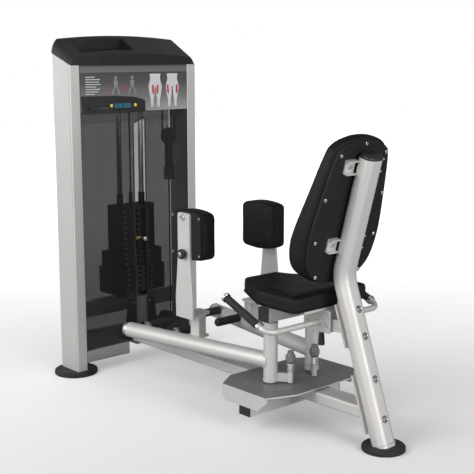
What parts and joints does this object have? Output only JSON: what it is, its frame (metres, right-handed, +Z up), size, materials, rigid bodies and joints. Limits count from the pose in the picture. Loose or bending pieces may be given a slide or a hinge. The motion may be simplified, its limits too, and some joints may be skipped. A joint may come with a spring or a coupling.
{
  "type": "hip abductor machine",
  "caption": "Seated hip abductor machine: weight-stack tower with tinted covers, swinging leg arms with thigh pads and foot pegs, sliding seat with handles and a reclined backrest.",
  "frame": {"origin": "on the floor, in the middle of the footprint", "axes": "+X from the weight tower towards the rear leg, +Y to the right of a seated user (who faces -X), +Z up"},
  "size_m": [1.881, 0.9036, 1.64],
  "materials": {
    "silver_paint": "satin",
    "dark_paint": "satin",
    "black_plastic": "satin",
    "tinted_cover": "gloss",
    "placard_print": "satin",
    "lcd": "gloss",
    "yellow_plastic": "gloss",
    "chrome": "polished",
    "rubber": "matte",
    "cast_iron": "matte",
    "bare_steel": "satin",
    "black_leather": "satin"
  },
  "bodies": {
    "frame": {"uprights": "silver_paint", "tower_crossmembers": "silver_paint", "top_cap": "black_plastic", "front_shroud": "tinted_cover", "rear_shroud": "tinted_cover", "instruction_placard": "placard_print", "console_housing": "black_plastic", "console_screen": "lcd", "guide_rods": "chrome", "stack_bumpers": "rubber", "resting_plates": "cast_iron", "pulley_brackets": "bare_steel", "pulley_cover": "dark_paint", "fixed_cables": "rubber", "base_frame": "silver_paint", "platform": "silver_paint", "arm_shafts": "bare_steel", "rear_leg": "silver_paint", "rubber_feet": "rubber", "end_plugs": "black_plastic", "seat_supports": "silver_paint", "backrest_board": "black_plastic", "backrest_cushion": "black_leather", "frame_bolts": "chrome"},
    "selected_weights": {"lifted_plates": "cast_iron", "top_plate": "cast_iron", "stack_cable": "rubber"},
    "selector_pin": {"selector_pin": "chrome"},
    "floating_block": {"floating_block": "cast_iron", "float_cable_loop": "rubber", "float_cable_run": "rubber", "float_cable_tail": "rubber", "pull_cable": "rubber"},
    "floating_pulley": {"floating_pulley": "black_plastic"},
    "centre_top_pulley": {"centre_top_pulley": "black_plastic"},
    "outer_top_pulley": {"outer_top_pulley": "black_plastic"},
    "bottom_pulley": {"bottom_pulley": "black_plastic"},
    "turning_pulley": {"turning_pulley": "black_plastic"},
    "rear_idler": {"rear_idler": "cast_iron"},
    "cable_equaliser": {"cable_equaliser": "bare_steel"},
    "seat": {"seat_carriage": "silver_paint", "seat_cushion": "black_leather", "hand_grips": "rubber"},
    "seat_pull_pin": {"seat_pull_pin": "black_plastic"},
    "left_button": {"left_button": "yellow_plastic"},
    "right_button": {"right_button": "yellow_plastic"},
    "left_cam": {"left_cam": "silver_paint"},
    "left_arm": {"left_arm": "silver_paint", "left_foot_pegs": "rubber"},
    "left_pop_pin": {"left_pop_pin": "black_plastic"},
    "left_pad": {"left_pad_bracket": "silver_paint", "left_thigh_pad": "black_leather"},
    "left_pad_knob": {"left_pad_knob": "black_plastic"},
    "right_cam": {"right_cam": "silver_paint"},
    "right_arm": {"right_arm": "silver_paint", "right_foot_pegs": "rubber"},
    "right_pop_pin": {"right_pop_pin": "black_plastic"},
    "right_pad": {"right_pad_bracket": "silver_paint", "right_thigh_pad": "black_leather"},
    "right_pad_knob": {"right_pad_knob": "black_plastic"}
  },
  "joints": [
    {"name": "stack_lift", "type": "slide", "parent": "frame", "child": "selected_weights", "axis": [0, 0, 1], "range_m": [0, 0.1335], "deforming": ["stack_cable"]},
    {"name": "selector_pin_pull", "type": "slide", "parent": "selected_weights", "child": "selector_pin", "axis": [1, 0, 0], "range_m": [0, 0.1]},
    {"name": "floating_block_drop", "type": "slide", "parent": "frame", "child": "floating_block", "axis": [0, 0, -1], "range_m": [0, 0.067], "deforming": ["float_cable_run", "float_cable_tail", "pull_cable"]},
    {"name": "floating_pulley_turn", "type": "hinge", "parent": "floating_block", "child": "floating_pulley", "pos_m": [-0.8455, 0.268, 1.134], "axis": [1, 0, 0], "range_deg": [0, 96]},
    {"name": "centre_top_pulley_turn", "type": "hinge", "parent": "frame", "child": "centre_top_pulley", "pos_m": [-0.8455, 0.06, 1.445], "axis": [1, 0, 0], "range_deg": [-192, 0]},
    {"name": "outer_top_pulley_turn", "type": "hinge", "parent": "frame", "child": "outer_top_pulley", "pos_m": [-0.8455, 0.188, 1.445], "axis": [1, 0, 0], "range_deg": [-192, 0]},
    {"name": "bottom_pulley_turn", "type": "hinge", "parent": "frame", "child": "bottom_pulley", "pos_m": [-0.8455, 0.228, 0.17], "axis": [1, 0, 0], "range_deg": [-96, 0]},
    {"name": "turning_pulley_turn", "type": "hinge", "parent": "frame", "child": "turning_pulley", "pos_m": [-0.8055, 0.04, 0.13], "axis": [0, 0, 1], "range_deg": [0, 96]},
    {"name": "rear_idler_turn", "type": "hinge", "parent": "frame", "child": "rear_idler", "pos_m": [0.5865, 0, 0.143], "axis": [0, 1, 0], "range_deg": [-295, 0]},
    {"name": "cable_equaliser_pull", "type": "slide", "parent": "frame", "child": "cable_equaliser", "axis": [-1, 0, 0], "range_m": [0, 0.067]},
    {"name": "left_cam_swing", "type": "hinge", "parent": "frame", "child": "left_cam", "pos_m": [0.332, -0.1253, 0.2746], "axis": [0, 0, 1], "range_deg": [0, 45.5]},
    {"name": "left_arm_start_angle", "type": "hinge", "parent": "left_cam", "child": "left_arm", "pos_m": [0.332, -0.1253, 0.2746], "axis": [0, 0, 1], "range_deg": [0, 36]},
    {"name": "left_pop_pin_lift", "type": "slide", "parent": "left_arm", "child": "left_pop_pin", "axis": [0, 0, 1], "range_m": [0, 0.012]},
    {"name": "left_pad_swivel", "type": "hinge", "parent": "left_arm", "child": "left_pad", "pos_m": [-0.0985, -0.163, 0.36], "axis": [0, 0, 1], "range_deg": [0, 180]},
    {"name": "left_pad_knob_pull", "type": "slide", "parent": "left_pad", "child": "left_pad_knob", "axis": [0, -1, 0], "range_m": [0, 0.01]},
    {"name": "right_cam_swing", "type": "hinge", "parent": "frame", "child": "right_cam", "pos_m": [0.332, 0.1253, 0.2746], "axis": [0, 0, -1], "range_deg": [0, 45.5]},
    {"name": "right_arm_start_angle", "type": "hinge", "parent": "right_cam", "child": "right_arm", "pos_m": [0.332, 0.1253, 0.2746], "axis": [0, 0, -1], "range_deg": [0, 36]},
    {"name": "right_pop_pin_lift", "type": "slide", "parent": "right_arm", "child": "right_pop_pin", "axis": [0, 0, 1], "range_m": [0, 0.012]},
    {"name": "right_pad_swivel", "type": "hinge", "parent": "right_arm", "child": "right_pad", "pos_m": [-0.0985, 0.163, 0.36], "axis": [0, 0, -1], "range_deg": [0, 180]},
    {"name": "right_pad_knob_pull", "type": "slide", "parent": "right_pad", "child": "right_pad_knob", "axis": [0, 1, 0], "range_m": [0, 0.01]},
    {"name": "seat_forward", "type": "slide", "parent": "frame", "child": "seat", "axis": [-1, 0, 0], "range_m": [0, 0.06]},
    {"name": "seat_pin_pull", "type": "slide", "parent": "seat", "child": "seat_pull_pin", "axis": [0, 0, -1], "range_m": [0, 0.012]},
    {"name": "left_button_press", "type": "slide", "parent": "frame", "child": "left_button", "axis": [-1, 0, 0], "range_m": [0, 0.0015]},
    {"name": "right_button_press", "type": "slide", "parent": "frame", "child": "right_button", "axis": [-1, 0, 0], "range_m": [0, 0.0015]}
  ],
  "couplings": [
    {"joint": "floating_block_drop", "follows": "stack_lift", "ratio": 0.5},
    {"joint": "floating_pulley_turn", "follows": "stack_lift", "rad_per_m": 12.5},
    {"joint": "centre_top_pulley_turn", "follows": "stack_lift", "rad_per_m": -25},
    {"joint": "outer_top_pulley_turn", "follows": "stack_lift", "rad_per_m": -25},
    {"joint": "bottom_pulley_turn", "follows": "stack_lift", "rad_per_m": -12.5},
    {"joint": "turning_pulley_turn", "follows": "stack_lift", "rad_per_m": 12.5},
    {"joint": "rear_idler_turn", "follows": "stack_lift", "rad_per_m": -38.462},
    {"joint": "cable_equaliser_pull", "follows": "stack_lift", "ratio": 0.5},
    {"joint": "left_cam_swing", "follows": "stack_lift", "rad_per_m": 5.8824},
    {"joint": "right_cam_swing", "follows": "stack_lift", "rad_per_m": 5.8824}
  ]
}
